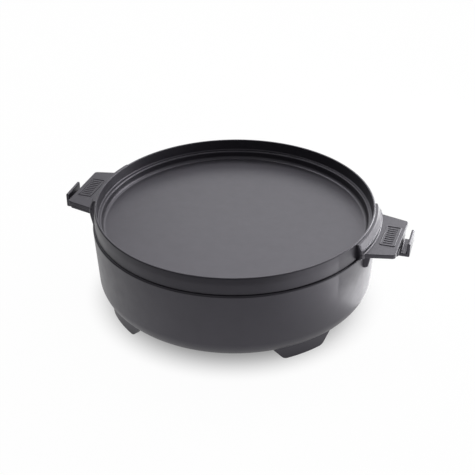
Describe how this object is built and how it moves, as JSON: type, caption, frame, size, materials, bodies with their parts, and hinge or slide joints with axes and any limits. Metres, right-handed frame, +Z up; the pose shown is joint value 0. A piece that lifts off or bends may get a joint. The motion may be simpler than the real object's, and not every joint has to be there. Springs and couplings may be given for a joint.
{
  "type": "cast iron camp pot with pan lid",
  "caption": "Round enamelled cast iron camp pot on short feet, closed by a shallow pan that is its lid and swings open on a hooked handle.",
  "frame": {"origin": "on the table, below the middle of the pot", "axes": "+Z up, the pot's handles along X with the lid's hinge at -X, -Y the side nearest the viewer"},
  "size_m": [0.4282, 0.3414, 0.124],
  "materials": {
    "enamelled_iron": "satin black enamel"
  },
  "bodies": {
    "pot": {"pot_bowl": "enamelled_iron", "pot_handle_left": "enamelled_iron", "pot_handle_right": "enamelled_iron", "foot_front_left": "enamelled_iron", "foot_front_right": "enamelled_iron", "foot_back_left": "enamelled_iron", "foot_back_right": "enamelled_iron"},
    "lid": {"lid_pan": "enamelled_iron", "lid_handle_left": "enamelled_iron", "lid_handle_right": "enamelled_iron"}
  },
  "joints": [
    {"name": "lid_swing", "type": "hinge", "parent": "pot", "child": "lid", "pos_m": [-0.1997, 0, 0.1008], "axis": [0, -1, 0], "range_deg": [0, 92]}
  ]
}
